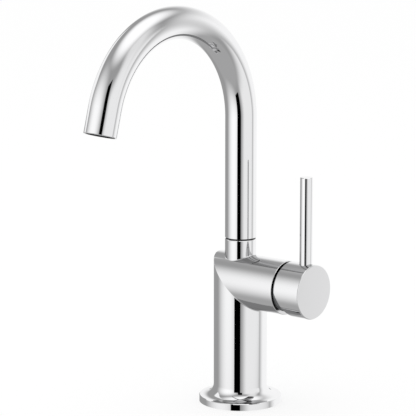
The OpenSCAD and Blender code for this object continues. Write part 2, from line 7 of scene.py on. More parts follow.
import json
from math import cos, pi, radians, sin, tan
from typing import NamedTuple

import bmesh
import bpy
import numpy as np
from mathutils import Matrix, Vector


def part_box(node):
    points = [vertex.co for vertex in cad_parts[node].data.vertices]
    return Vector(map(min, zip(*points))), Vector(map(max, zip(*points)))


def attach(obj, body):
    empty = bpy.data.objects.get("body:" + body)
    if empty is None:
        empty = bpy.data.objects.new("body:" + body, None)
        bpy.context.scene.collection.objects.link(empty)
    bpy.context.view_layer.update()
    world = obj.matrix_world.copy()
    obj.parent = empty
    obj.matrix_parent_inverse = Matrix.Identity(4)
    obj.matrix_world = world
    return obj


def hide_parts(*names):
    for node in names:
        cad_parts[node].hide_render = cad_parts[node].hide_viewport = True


bl_info = {
    "name": "Gooseneck bar faucet",
    "version": (1, 0, 0),
    "blender": (4, 5, 0),
    "location": "3D View > Sidebar > Faucet",
    "description": "Builds the chrome shells, the finishes and the studio of a gooseneck bar faucet",
    "category": "Object",
}

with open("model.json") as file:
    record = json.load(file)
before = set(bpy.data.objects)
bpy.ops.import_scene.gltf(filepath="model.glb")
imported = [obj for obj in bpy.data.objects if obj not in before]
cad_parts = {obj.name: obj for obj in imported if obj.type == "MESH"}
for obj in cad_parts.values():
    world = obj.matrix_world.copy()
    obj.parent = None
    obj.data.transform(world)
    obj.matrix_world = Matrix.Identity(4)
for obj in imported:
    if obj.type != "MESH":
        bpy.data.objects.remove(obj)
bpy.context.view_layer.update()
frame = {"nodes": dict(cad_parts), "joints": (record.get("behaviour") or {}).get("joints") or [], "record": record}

MM = 0.001
JOINTS = {joint["name"]: joint for joint in frame["joints"]}
MOUNTS = {mount["name"]: mount["dims"] for mount in frame["record"]["mounts"]}
PIVOT = Vector(JOINTS["flow_tilt"]["pos_m"])

# Boxes of the CAD nodes that the shells stand for or fit around
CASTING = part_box("body_casting")
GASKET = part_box("base_gasket")
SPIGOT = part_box("swivel_spigot")
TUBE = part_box("spout_tube")
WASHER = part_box("swivel_washer")
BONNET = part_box("bonnet")
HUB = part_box("handle_hub")
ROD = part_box("lever_rod")
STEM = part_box("cartridge_stem")
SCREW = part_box("handle_set_screw")


# ---- Sizes, colours and studio settings ----


def length(title, text, default):
    """A size in metres, as a property of a group."""
    return bpy.props.FloatProperty(
        name=title, description=text, default=default, min=0, precision=5, subtype="DISTANCE", unit="LENGTH"
    )


def angle(title, text, default):
    """An angle given in degrees, as a property of a group."""
    return bpy.props.FloatProperty(
        name=title, description=text, default=radians(default), subtype="ANGLE", unit="ROTATION"
    )


def number(title, text, default, unit="NONE"):
    """A plain number, as a property of a group."""
    return bpy.props.FloatProperty(name=title, description=text, default=default, min=0, unit=unit)


def linear(hex_code):
    """Linear red, green and blue of an sRGB colour written as six hex digits."""
    srgb = np.array([int(hex_code[k : k + 2], 16) for k in (0, 2, 4)]) / 255
    return tuple(np.where(srgb <= 0.04045, srgb / 12.92, ((srgb + 0.055) / 1.055) ** 2.4))


def colour(title, text, hex_code):
    """An sRGB colour, as a property of a group that holds it in linear values."""
    return bpy.props.FloatVectorProperty(
        name=title, description=text, default=linear(hex_code), min=0, max=1, size=3, subtype="COLOR"
    )


class FaucetBodySizes(bpy.types.PropertyGroup):
    """Sizes of the body casting and the bonnet."""

    bar_radius: length("Column radius", "Radius of the column and the barrel", (HUB[1].y - HUB[0].y) / 2)
    axis_height: length("Barrel height", "Height of the barrel's axis above the deck", PIVOT.z)
    flange_radius: length("Flange radius", "Radius of the foot flange", CASTING[1].y)
    rim_height: length("Rim height", "Height of the flange's upright rim", 4.8 * MM)
    rim_bevel: length("Rim bevel", "Bevel on the flange's top edge", 0.4 * MM)
    flare_radius: length("Flare radius", "Radius of the flare from flange to column", 8 * MM)
    gasket_width: length("Gasket width", "Width of the groove for the gasket", 5.1 * MM)
    gasket_gap: length("Gasket gap", "Clearance around the gasket in its groove", 0.05 * MM)
    barrel_reach: length("Barrel reach", "From the column's axis to the barrel's rim", CASTING[1].x)
    barrel_round: length("Barrel rounding", "Rounding of the barrel's rim", 0.4 * MM)
    mouth_radius: length("Mouth radius", "Radius of the barrel's threaded mouth", 16 * MM)
    mouth_depth: length("Mouth depth", "Depth of the barrel's threaded mouth", 12.6 * MM)
    cavity_radius: length("Cavity radius", "Radius of the cartridge's bore", 14.2 * MM)
    cavity_depth: length("Cavity depth", "Depth of the cartridge's seat from the rim", 30.6 * MM)
    chamber_radius: length("Chamber radius", "Radius of the hose chamber", 15.2 * MM)
    chamber_top: length("Chamber top", "Height of the hose chamber's top", 58 * MM)
    inlet_offset: length("Inlet offset", "From the column's axis to each supply inlet", 8 * MM)
    riser_radius: length("Riser radius", "Radius of the water way above each inlet", 3 * MM)
    collar_bore: length("Collar bore", "Radius of the spigot's thread in the collar", 9.05 * MM)
    collar_fillet: length("Collar fillet", "Fillet at the foot of the collar", 0.6 * MM)
    inner_crease: length("Inner crease", "Fillet where the barrel meets the column", 1.2 * MM)
    outer_crease: length("Outer crease", "Rounding of the mitre's outer corner", 0.4 * MM)
    bonnet_radius: length("Bonnet radius", "Radius of the dome about the lever's pivot", 17.2 * MM)
    bonnet_wall: length("Bonnet wall", "Wall of the bonnet's dome", 2 * MM)
    bonnet_hole: length("Bonnet hole", "Radius of the bonnet's hole", 9.6 * MM)
    skirt_wall: length("Skirt wall", "Wall of the bonnet's threaded skirt", 1.3 * MM)


class FaucetSpoutSizes(bpy.types.PropertyGroup):
    """Sizes of the spout tube, the collar below it and the washer between them."""

    radius: length("Tube radius", "Outer radius of the spout tube and of the collar", TUBE[1].y)
    wall: length("Tube wall", "Wall of the spout tube", 1.2 * MM)
    bevel: length("End bevel", "Bevel on the ends of the tube and of the collar", 0.3 * MM)
    arch_radius: length("Arch radius", "Radius of the arch at the tube's centre line", 70.7 * MM)
    arch_sweep: angle("Arch sweep", "Angle that the arch turns through", 164.3)
    tip_length: length("Tip length", "Length of the straight tip after the arch", 17.8 * MM)
    washer_bore: length("Washer bore", "Radius of the washer's hole for the spigot", 8.35 * MM)
    washer_round: length("Washer rounding", "Rounding of the washer's outer edges", 0.15 * MM)


class FaucetHandleSizes(bpy.types.PropertyGroup):
    """Sizes of the hub and the lever rod."""

    lip_wall: length("Lip wall", "Wall of the hub's lip", 1.45 * MM)
    lip_round: length("Lip rounding", "Rounding of the lip's outer edge", 0.3 * MM)
    hollow_depth: length("Hollow depth", "Depth of the hub's hollow from its upper lip", 7.2 * MM)
    relief: angle("Lip slant", "Slant of the hub's lower lip", 21.8)
    face_round: length("Face rounding", "Rounding of the edge of the hub's face", 0.6 * MM)
    stem_half_height: length("Stem half height", "Half the height of the stem's flat end", 3.5 * MM)
    lever_radius: length("Lever radius", "Radius of the lever rod", (ROD[1].x - ROD[0].x) / 2)
    lever_seat: length("Lever seat", "Depth of the rod's seat in the top of the hub", 1.5 * MM)
    lever_bevel: length("Lever bevel", "Bevel on the lever rod's top edge", 0.3 * MM)
    tail_radius: length("Tail radius", "Radius of the lever rod's threaded tail", 3 * MM)
    tail_room: length("Room under the tail", "Depth left in its hole below the rod's tail", 0.3 * MM)
    screw_tip: length("Screw tip", "How far the set screw reaches past its hole's floor", 0.1 * MM)
    slack: length("Slack", "Clearance around pieces that are screwed or dropped in", 0.05 * MM)


class FaucetFinish(bpy.types.PropertyGroup):
    """Colours of the finishes."""

    chrome: colour("Chrome", "Bright nickel and chromium plate", "F7F7F8")
    # Painted shade: the bonnet's tint is darker than chrome to stand in for the shade under the hub's lip
    nickel_in_painted_shade: colour("Nickel in painted shade", "Plate on the bonnet, behind the hub's lip", "959698")
    # Painted shade: nearly black brass that stands in for the shade deep in the hub's hollow and the spout's bore
    painted_shade_brass: colour("Brass in painted shade", "Unplated brass, nearly black as painted shade in the deep hollows", "171412")
    brass: colour("Turned brass", "Machined brass inside the body", "D1AD62")
    steel: colour("Turned steel", "Stainless steel screws and pins", "B9BABC")
    rubber: colour("Black rubber", "Gasket, O-rings and washers", "1C1C1D")
    black_acetal: colour("Black acetal", "Swivel washer", "141416")
    white_acetal: colour("White acetal", "Cartridge pieces and bearing rings", "E4E3DC")
    grey_acetal: colour("Grey acetal", "Aerator housing", "6E7276")
    ceramic: colour("Lapped ceramic", "Cartridge discs", "ECE7DA")


class FaucetStudio(bpy.types.PropertyGroup):
    """Camera, floor and light."""

    azimuth: angle("Camera azimuth", "Direction of the camera, from -Y towards +X", 40.25)
    pitch: angle("Camera pitch", "How far the camera looks down", 10.134)
    distance: length("Camera distance", "From the camera to the point it looks at", 1389.5 * MM)
    aim_height: length("Aim height", "Height of the point that the camera looks at", 140.08 * MM)
    aim_left: length("Aim left", "How far that point lies left of the column's axis", 23.13 * MM)
    lens: number("Lens", "Focal length in mm", 170.09, "CAMERA")
    floor: colour("Floor", "Pale floor", "FDFDFD")
    room: number("Room light", "Strength of the white room light", 1.0)
    lamp: number("Lamp", "Power of the soft lamp overhead", 2, "POWER")


GROUPS = {
    "faucet_body": FaucetBodySizes,
    "faucet_spout": FaucetSpoutSizes,
    "faucet_handle": FaucetHandleSizes,
    "faucet_finish": FaucetFinish,
    "faucet_studio": FaucetStudio,
}


# ---- Surfaces worked out on grids ----

# Points of two sheets that lie closer than this become one
WELD = 0.002 * MM
# Edges that turn by more than this are shaded as sharp
SHARP_TURN = radians(30)


def turn_angles(count):
    """Evenly spaced angles of one full turn, without the last one."""
    return 2 * pi * np.arange(count) / count


def about_z(radius, height, turn, centre=(0, 0)):
    """Points on circles about an upright axis: x and y from the radius and the turn, z the height."""
    radius, height, turn = np.broadcast_arrays(radius, height, turn)
    return np.stack([centre[0] + radius * np.cos(turn), centre[1] + radius * np.sin(turn), height], -1)


def about_x(reach, radius, turn, height):
    """Points on circles about a level axis along X at that height.

    Turn 0 points down, and a quarter of a turn points to +Y.
    """
    reach, radius, turn = np.broadcast_arrays(reach, radius, turn)
    return np.stack([reach, radius * np.sin(turn), height - radius * np.cos(turn)], -1)


def column(values):
    """The values as one column, so that they run along a grid's rows."""
    return np.asarray(values, float)[:, None]


def steps(first, last, count):
    """Rows that pass in equal steps from the first line of values to the last one."""
    share = column(np.linspace(0, 1, count + 1))
    return (1 - share) * np.asarray(first) + share * np.asarray(last)


def unit_fan(first, second, count):
    """Rows of unit vectors that swing from the first directions to the second ones."""
    share = np.linspace(0, 1, count + 1)[:, None, None]
    mixed = (1 - share) * first + share * second
    return mixed / np.linalg.norm(mixed, axis=-1, keepdims=True)


def smooth_step(low, high, value):
    """Smooth step of the value, from 0 at low to 1 at high."""
    share = np.clip((value - low) / (high - low), 0, 1)
    return share * share * (3 - 2 * share)


def arc(centre, radius, first, last, count):
    """Points (along, across) of an arc about a centre, between two angles in degrees."""
    turn = np.radians(np.linspace(first, last, count + 1))
    return [(centre[0] + radius * np.cos(a), centre[1] + radius * np.sin(a)) for a in turn]


def sheet(points, closed=False, windows=()):
    """A grid of points with its quads as corner numbers, the last column joined to the first.

    A closed sheet joins its last row to the first too. Each window, a pair of slices, stays open.
    """
    rows, cols = points.shape[:2]
    row = np.arange(rows if closed else rows - 1)[:, None]
    col = np.arange(cols)
    below, beside = (row + 1) % rows, (col + 1) % cols
    corners = [row * cols + col, row * cols + beside, below * cols + beside, below * cols + col]
    faces = np.stack(np.broadcast_arrays(*corners), -1)
    kept = np.ones(faces.shape[:2], bool)
    for window in windows:
        kept[window] = False
    return points.reshape(-1, 3), faces[kept]


def turned_sheet(about, profile, turn, *place, closed=False):
    """A profile turned about an axis: about_z or about_x makes a circle of each of its points."""
    first, second = np.array(profile).T
    return sheet(about(column(first), column(second), turn, *place), closed)


def rows_through(lines, counts):
    """Rows that pass through lines of values, with a count of equal steps from each to the next."""
    parts = [steps(first, last, count)[:-1] for first, last, count in zip(lines, lines[1:], counts)]
    return np.concatenate([*parts, lines[-1][None]])


def around(rows, cols):
    """Row and column numbers along the edge of a window, in order and without a repeat."""
    down = np.arange(rows.start, rows.stop)
    across = np.arange(cols.start, cols.stop)
    row = [np.full(across.size, rows.start), down, np.full(across.size, rows.stop), down[::-1] + 1]
    col = [across, np.full(down.size, cols.stop), across[::-1] + 1, np.full(down.size, cols.start)]
    return np.concatenate(row), np.concatenate(col)


def new_piece(name, sheets, body, material, nodes, lining=None, lined=()):
    """One closed mesh from sheets that meet along equal points: they are welded and turned outwards.

    The lined sheets lie inside the piece. They come after the others and get the lining's material.
    """
    outer_faces = sum(len(faces) for _, faces in sheets)
    sheets = [*sheets, *lined]
    starts = np.cumsum([0] + [len(points) for points, _ in sheets])
    points = np.concatenate([points for points, _ in sheets])
    faces = np.concatenate([faces + start for (_, faces), start in zip(sheets, starts)])
    mesh = bpy.data.meshes.new(name)
    mesh.from_pydata(points.tolist(), [], faces.tolist())
    mesh.polygons.foreach_set("material_index", (np.arange(len(faces)) >= outer_faces).astype(np.int32))
    work = bmesh.new()
    work.from_mesh(mesh)
    bmesh.ops.remove_doubles(work, verts=work.verts, dist=WELD)
    bmesh.ops.recalc_face_normals(work, faces=work.faces)
    work.to_mesh(mesh)
    work.free()
    mesh.shade_smooth()
    mesh.set_sharp_from_angle(angle=SHARP_TURN)
    mesh.materials.append(material)
    if lined:
        mesh.materials.append(lining)
    piece = bpy.data.objects.new(name, mesh)
    bpy.context.scene.collection.objects.link(piece)
    weighted = piece.modifiers.new("weighted_normals", "WEIGHTED_NORMAL")
    weighted.keep_sharp = True
    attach(piece, body)
    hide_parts(*nodes)
    return piece


# ---- Finishes ----

WHITE = (1, 1, 1, 1)


def add_node(tree, kind, links=None, **settings):
    """A shader node of that kind, with its settings made and its inputs linked or set."""
    node = tree.nodes.new("ShaderNode" + kind)
    for key, value in settings.items():
        setattr(node, key, value)
    for socket, source in (links or {}).items():
        if isinstance(source, bpy.types.NodeSocket):
            tree.links.new(source, node.inputs[socket])
        else:
            node.inputs[socket].default_value = source
    return node


def new_tree(owner):
    """Gives a material or a world an empty node tree, and returns both."""
    owner.use_nodes = True
    owner.node_tree.nodes.clear()
    return owner, owner.node_tree


def new_material(name, tint, metallic):
    """A material with one Principled surface; returns it with its tree and its shader."""
    material, tree = new_tree(bpy.data.materials.new(name))
    shader = add_node(tree, "BsdfPrincipled", {"Base Color": (*tint, 1), "Metallic": metallic})
    add_node(tree, "OutputMaterial", {"Surface": shader.outputs["BSDF"]})
    return material, tree, shader


def mottled_roughness(tree, shader, grain, low, high):
    """Roughness that wanders between two values; grain is the size of its patches in metres."""
    place = add_node(tree, "TexCoord")
    pattern = {"Vector": place.outputs["Object"], "Scale": 1 / grain, "Detail": 3.0}
    noise = add_node(tree, "TexNoise", pattern)
    # The noise hardly ever leaves the range from 0.3 to 0.7
    spread = {"Value": noise.outputs["Fac"], "From Min": 0.3, "From Max": 0.7}
    rough = add_node(tree, "MapRange", {**spread, "To Min": low, "To Max": high})
    tree.links.new(rough.outputs["Result"], shader.inputs["Roughness"])


def chrome_plate(name, finish):
    """Nickel and chromium plate on buffed brass: a clear mirror with hardly any tint.

    The buffing wheel leaves a trace of haze in it, in patches about 15 mm wide.
    """
    material, tree, shader = new_material(name, finish.chrome, 1.0)
    mottled_roughness(tree, shader, grain=15 * MM, low=0.02, high=0.045)
    return material


def plain_finish(name, tint, roughness, metallic=0.0):
    """A moulded or turned surface with faint patches of more and less gloss, about 2 mm wide."""
    material, tree, shader = new_material(name, tint, metallic)
    mottled_roughness(tree, shader, grain=2 * MM, low=0.8 * roughness, high=1.2 * roughness)
    return material


def painted_shade_finish(name, finish):
    """Dull, unplated brass in a hollow too deep for the plating bath; its near-black colour is painted shade,
    standing in for the shade deep in the hollow.
    """
    return plain_finish(name, finish.painted_shade_brass, roughness=0.7)


# ---- Body casting ----

# All sheets of the body share one full turn of this many steps
TURNS = 288
# Steps along the flare, the column, a rounded crease or fillet, and the rounding of a rim
FLARE_STEPS = 72
SHAFT_STEPS = 24
CREASE_STEPS = 8
RIM_STEPS = 5
# Steps across the middle of the hose chamber's top
MIDDLE_STEPS = 36
# The barrel's grid has a window on top for the collar, and these steps between window and rim
BARREL_ROWS = slice(8, 40)
BARREL_COLS = slice(112, 176)
OUTER_ROWS = 14
# The window is a rectangle around the collar's fillet, with this much room. Its end rows keep to it
# within 40 degrees of the top, lie at these shares of the way from crease to rim past 60 degrees, and
# pass smoothly from one to the other in between.
WINDOW_ROOM = 1.5 * MM
TOP_SECTOR = radians(60), radians(40)
WINDOW_SHARES = 0.25, 0.65
# Loops from the window to the collar's fillet, and steps up the collar's side
LOOP_STEPS = 8
COLLAR_STEPS = 6


def foot_sheet(size, turn):
    """Chamber, mounting thread, gasket groove, flange and flare: one profile turned about the column.

    The flare is a quarter circle that starts level on the flange and ends upright on the column.
    """
    groove_outer = GASKET[1].y + size.gasket_gap
    groove_inner = groove_outer - size.gasket_width
    thread = MOUNTS["mounting_thread"]
    thread_r, thread_l = thread["r_mm"] * MM, thread["length_mm"] * MM
    flare_foot = size.bar_radius + size.flare_radius
    profile = [
        (size.chamber_radius, size.chamber_top),
        (size.chamber_radius, thread_l),
        (thread_r, thread_l),
        (thread_r, 0),
        (groove_inner, 0),
        (groove_inner, GASKET[1].z),
        (groove_outer, GASKET[1].z),
        (groove_outer, 0),
        (size.flange_radius, 0),
        (size.flange_radius, size.rim_height - size.rim_bevel),
        (size.flange_radius - size.rim_bevel, size.rim_height),
    ]
    flare_centre = (flare_foot, size.rim_height + size.flare_radius)
    profile += arc(flare_centre, size.flare_radius, 270, 180, FLARE_STEPS)
    return turned_sheet(about_z, profile, turn)


def chamber_top_sheets(size, turn):
    """Top of the hose chamber with its two supply inlets.

    Each half of the disc is a set of loops that shrink from the half circle to the inlet's hole,
    and go on as the inlet's thread and the narrower riser above it.
    """
    half = turn[: TURNS // 2 + 1]
    rim = about_z(size.chamber_radius, size.chamber_top, half)
    middle = steps(rim[-1], rim[0], MIDDLE_STEPS)[1:-1]
    loop = np.concatenate([rim, middle])
    inlet = MOUNTS["hot_inlet"]
    hole, inlet_top = inlet["r_mm"] * MM, size.chamber_top + inlet["length_mm"] * MM
    centre = np.array([0, size.inlet_offset, size.chamber_top])
    away = loop - centre
    away /= np.linalg.norm(away, axis=1, keepdims=True)
    up = np.array([0, 0, 1])
    riser, top = size.riser_radius, size.axis_height
    levels = [(hole, inlet_top), (riser, inlet_top), (riser, top), (0, top)]
    disc = [loop, (loop + centre + hole * away) / 2, centre + hole * away]
    well = [centre + radius * away + (height - size.chamber_top) * up for radius, height in levels]
    half_top = np.stack(disc + well)
    return [sheet(half_top), sheet(half_top * (1, -1, 1))]


def barrel_rows(size, crease, collar_radius, turn):
    """Reach of every grid row along the barrel, from the crease to the rounding of the rim."""
    rim = size.barrel_reach - size.barrel_round
    half_window = collar_radius + size.collar_fillet + WINDOW_ROOM
    near_top = smooth_step(*TOP_SECTOR, np.abs(turn - pi))
    near, far = (crease + share * (rim - crease) for share in WINDOW_SHARES)
    first = (1 - near_top) * near - near_top * half_window
    second = (1 - near_top) * far + near_top * half_window
    lines = [crease, first, second, np.full(TURNS, rim)]
    return rows_through(lines, (BARREL_ROWS.start, BARREL_ROWS.stop - BARREL_ROWS.start, OUTER_ROWS))


def mouth_sheet(size, turn):
    """Rounded rim, threaded mouth and cartridge seat: one profile turned about the barrel's axis."""
    rim_centre = (size.barrel_reach - size.barrel_round, size.bar_radius - size.barrel_round)
    mouth_x = size.barrel_reach - size.mouth_depth
    seat_x = size.barrel_reach - size.cavity_depth
    profile = arc(rim_centre, size.barrel_round, 90, 0, RIM_STEPS)
    profile += [
        (size.barrel_reach, size.mouth_radius),
        (mouth_x, size.mouth_radius),
        (mouth_x, size.cavity_radius),
        (seat_x, size.cavity_radius),
        (seat_x, 0),
    ]
    return turned_sheet(about_x, profile, turn, size.axis_height)


def collar_sheet(size, radius, bevel, reach, turn):
    """Collar: loops from the barrel's window to the fillet, the fillet, then the collar and its bore.

    A ball rolled around the collar's foot touches both the barrel and the collar. The loops end and
    the collar starts on its two lines of contact, and the fillet is the ball's surface between them.
    """
    R, axis, fillet = size.bar_radius, size.axis_height, size.collar_fillet
    row, col = around(BARREL_ROWS, BARREL_COLS)
    edge_x, edge_turn = reach[row, col], turn[col]
    bearing = np.arctan2(R * np.sin(edge_turn), edge_x)
    ball_path = radius + fillet
    foot_turn = pi - np.arcsin(ball_path * np.sin(bearing) / (R + fillet))
    loops_x = steps(edge_x, ball_path * np.cos(bearing), LOOP_STEPS)
    loops = about_x(loops_x, R, steps(edge_turn, foot_turn, LOOP_STEPS), axis)

    ball_height = axis - (R + fillet) * np.cos(foot_turn)
    ball_centre = about_z(ball_path, ball_height, bearing)
    off_barrel = np.stack([0 * bearing, np.sin(foot_turn), -np.cos(foot_turn)], -1)
    off_collar = np.stack([np.cos(bearing), np.sin(bearing), 0 * bearing], -1)
    foot = ball_centre - fillet * unit_fan(off_barrel, off_collar, CREASE_STEPS)

    top = CASTING[1].z
    shoulder = np.full(bearing.size, top - bevel)
    side = about_z(radius, steps(ball_height, shoulder, COLLAR_STEPS), bearing)
    bore = np.array([
        (radius, top - bevel),
        (radius - bevel, top),
        (size.collar_bore, top),
        (size.collar_bore, SPIGOT[0].z),
        (0, SPIGOT[0].z),
    ])
    socket = about_z(column(bore[:, 0]), column(bore[:, 1]), bearing)
    return sheet(np.concatenate([loops, foot[1:], side[1:], socket[1:]]))


def elbow_sheets(size, collar_radius, collar_bevel, turn):
    """Column, creased mitre, barrel with its mouth, and the collar on top.

    Column and barrel are two equal round bars that share one turn: a point of the crease lies at
    (R cos t, R sin t) on the column and as far from the barrel's axis. A ball rolled along the crease
    touches both bars, outside on the inner corner and inside on the outer one, and gives the
    rounding; its contact lines are where the two bars' surfaces end.
    """
    R, axis = size.bar_radius, size.axis_height
    ball = np.where(np.cos(turn) > 0, size.inner_crease, -size.outer_crease)
    crease = (R + ball) * np.cos(turn)
    flare_top = np.full(TURNS, size.rim_height + size.flare_radius)
    shaft = about_z(R, steps(flare_top, axis - crease, SHAFT_STEPS), turn)

    centre = about_z(R + ball, axis - crease, turn)
    from_column = np.stack([np.cos(turn), np.sin(turn), 0 * turn], -1)
    from_barrel = np.stack([0 * turn, np.sin(turn), -np.cos(turn)], -1)
    rounding = centre - ball[:, None] * unit_fan(from_column, from_barrel, CREASE_STEPS)

    reach = barrel_rows(size, crease, collar_radius, turn)
    return [
        sheet(shaft),
        sheet(rounding),
        sheet(about_x(reach, R, turn, axis), windows=[(BARREL_ROWS, BARREL_COLS)]),
        mouth_sheet(size, turn),
        collar_sheet(size, collar_radius, collar_bevel, reach, turn),
    ]


class FAUCET_OT_body(bpy.types.Operator):
    """Casting with flange, flare, column, mitred barrel and collar, as one closed chrome shell"""

    bl_idname = "faucet.body"
    bl_label = "Body casting"

    def execute(self, context):
        size, tube = context.scene.faucet_body, context.scene.faucet_spout
        turn = turn_angles(TURNS)
        sheets = [foot_sheet(size, turn)] + chamber_top_sheets(size, turn)
        sheets += elbow_sheets(size, tube.radius, tube.bevel, turn)
        finish = chrome_plate("chrome_on_cast_brass", context.scene.faucet_finish)
        new_piece("body_shell", sheets, "fixed", finish, ["body_casting"])
        return {"FINISHED"}


# ---- Bonnet and washer ----

# Steps along the dome and its ceiling, around the bonnet, along a washer's edge and around the washer
DOME_STEPS = 24
CEILING_STEPS = 16
BONNET_TURNS = 192
EDGE_STEPS = 4
WASHER_TURNS = 160


def sphere_arc(radius, first, last, count):
    """Points (reach, radius from the axis) of a sphere about the origin, between two reaches."""
    reach = np.linspace(first, last, count + 1)
    return list(zip(reach, np.sqrt(radius**2 - reach**2)))


class FAUCET_OT_bonnet(bpy.types.Operator):
    """Domed bonnet about the lever's pivot, with its threaded skirt in the barrel's mouth"""

    bl_idname = "faucet.bonnet"
    bl_label = "Bonnet"

    def execute(self, context):
        size = context.scene.faucet_body
        outer, inner = size.bonnet_radius, size.bonnet_radius - size.bonnet_wall
        base, top = size.barrel_reach - PIVOT.x, BONNET[1].x - PIVOT.x
        ceiling = top - size.bonnet_wall
        skirt_outer = size.mouth_radius - context.scene.faucet_handle.slack
        skirt_inner = skirt_outer - size.skirt_wall
        skirt_end = BONNET[0].x - PIVOT.x
        profile = sphere_arc(outer, base, top, DOME_STEPS)
        profile += [(top, size.bonnet_hole), (ceiling, size.bonnet_hole)]
        profile += sphere_arc(inner, ceiling, base, CEILING_STEPS)
        profile += [(base, skirt_inner), (skirt_end, skirt_inner)]
        profile += [(skirt_end, skirt_outer), (base, skirt_outer)]
        profile = [(PIVOT.x + reach, radius) for reach, radius in profile]
        dome = turned_sheet(about_x, profile, turn_angles(BONNET_TURNS), PIVOT.z, closed=True)
        # Nickel plate with blurred reflections; its tint, darker than the chrome around it, is painted shade under
        # the hub's lip
        tint = context.scene.faucet_finish.nickel_in_painted_shade
        finish = plain_finish("nickel_plate_in_painted_shade", tint, roughness=0.14, metallic=1.0)
        new_piece("bonnet_shell", [dome], "fixed", finish, ["bonnet"])
        return {"FINISHED"}


class FAUCET_OT_washer(bpy.types.Operator):
    """Dark swivel washer in the seam between the collar and the spout, with softened edges"""

    bl_idname = "faucet.washer"
    bl_label = "Swivel washer"

    def execute(self, context):
        size = context.scene.faucet_spout
        low, high, outer = WASHER[0].z, WASHER[1].z, WASHER[1].y
        soft = size.washer_round
        profile = arc((outer - soft, low + soft), soft, -90, 0, EDGE_STEPS)
        profile += arc((outer - soft, high - soft), soft, 0, 90, EDGE_STEPS)
        profile += [(size.washer_bore, high), (size.washer_bore, low)]
        ring = turned_sheet(about_z, profile, turn_angles(WASHER_TURNS), closed=True)
        # Black plastic with a narrow, soft gloss: a dark line between two bright bars
        tint = context.scene.faucet_finish.black_acetal
        finish = plain_finish("moulded_black_acetal", tint, roughness=0.35)
        new_piece("washer_ring", [ring], "fixed", finish, ["swivel_washer"])
        return {"FINISHED"}


# ---- Spout ----

TUBE_TURNS = 160
# Steps along the arch outside and in the bore, and along the straight riser and tip
SKIN_STEPS = 200
BORE_STEPS = 80
RISER_STEPS = 8
TIP_STEPS = 4


def tube_stations(size, riser, radius, bevel, arch_steps):
    """Stations along the tube: how far the arch has turned, the straight way past it, and the radius.

    Along the riser the way counts up to zero at the arch's start, and along the tip it goes on from
    zero at the arch's end. A bevel narrows the first and the last station.
    """
    sweep = size.arch_sweep
    rows = [(0, -riser, radius - bevel)]
    if bevel:
        rows += [(0, bevel - riser, radius)]
    rows += [(0, way, radius) for way in np.linspace(-riser, 0, RISER_STEPS + 1)[1:-1]]
    rows += [(bend, 0, radius) for bend in np.linspace(0, sweep, arch_steps + 1)]
    rows += [(sweep, way, radius) for way in np.linspace(0, size.tip_length, TIP_STEPS + 1)[1:-1]]
    if bevel:
        rows += [(sweep, size.tip_length - bevel, radius)]
    rows += [(sweep, size.tip_length, radius - bevel)]
    return np.array(rows)


def tube_points(size, rows, centre_z):
    """Circles along the tube: each station turns about the arch's centre, then goes on straight."""
    bend, along, radius = rows.T[..., None]
    turn = turn_angles(TUBE_TURNS)
    out = radius * np.cos(turn) + size.arch_radius
    y = out * np.cos(bend) - along * np.sin(bend) - size.arch_radius
    z = out * np.sin(bend) + along * np.cos(bend) + centre_z
    return np.stack([radius * np.sin(turn), y, z], -1)


class FAUCET_OT_spout(bpy.types.Operator):
    """Bent chrome tube: riser, round arch and straight tip, open at both ends"""

    bl_idname = "faucet.spout"
    bl_label = "Spout tube"

    def execute(self, context):
        size, finish = context.scene.faucet_spout, context.scene.faucet_finish
        centre_z = TUBE[1].z - size.radius - size.arch_radius
        riser = centre_z - TUBE[0].z
        outside = tube_stations(size, riser, size.radius, size.bevel, SKIN_STEPS)
        inside = tube_stations(size, riser, size.radius - size.wall, 0, BORE_STEPS)
        outside = np.concatenate([inside[:1], outside, inside[-1:]])
        skin, bore = (sheet(tube_points(size, rows, centre_z)) for rows in (outside, inside))
        chrome = chrome_plate("chrome_on_drawn_tube", finish)
        # The bore's lining is nearly black: painted shade inside the tube
        painted_shade_brass = painted_shade_finish("painted_shade_tube_bore", finish)
        slot, nodes = "chrome_plated_tube", ["spout_tube"]
        new_piece("spout_shell", [skin], "spout", chrome, nodes, lining=painted_shade_brass, lined=[bore])
        return {"FINISHED"}


# ---- Handle ----

HUB_TURNS = 240
LEVER_TURNS = 128
# The grid of the hub's side has two windows: for the lever's seat on top and the set screw behind
HUB_ROWS = slice(6, 30)
LEVER_COLS = slice(106, 134)
SCREW_COLS = slice(50, 70)
# Below the hub the windows' first row stands back, clear of the slanted lip: not at all where the
# cosine of the angle from straight down is 0.35, and this far where it is 0.85
STEP_BACK = 4 * MM
LOWER_SECTOR = 0.35, 0.85
# Plain band between the windows' last row and the rounding of the face
FACE_BAND = 0.8 * MM
# Steps across that band, along the rounding of the face, and from a window's edge to its hole
BAND_STEPS = 2
FACE_STEPS = 8
HOLE_STEPS = 6


def pocket_outline(turn, half_width, half_height):
    """Points (side, up) along a rectangle about the axis: each side takes a quarter of the turn."""
    quarter = (turn / (pi / 2) + 0.5) % 4
    side_number = np.floor(quarter).astype(int)
    along = 2 * (quarter - side_number) - 1
    ones = np.ones_like(along)
    side = np.choose(side_number, [along, ones, -along, -ones])
    up = np.choose(side_number, [-ones, along, ones, -along])
    return np.array([half_width * side, half_height * up])


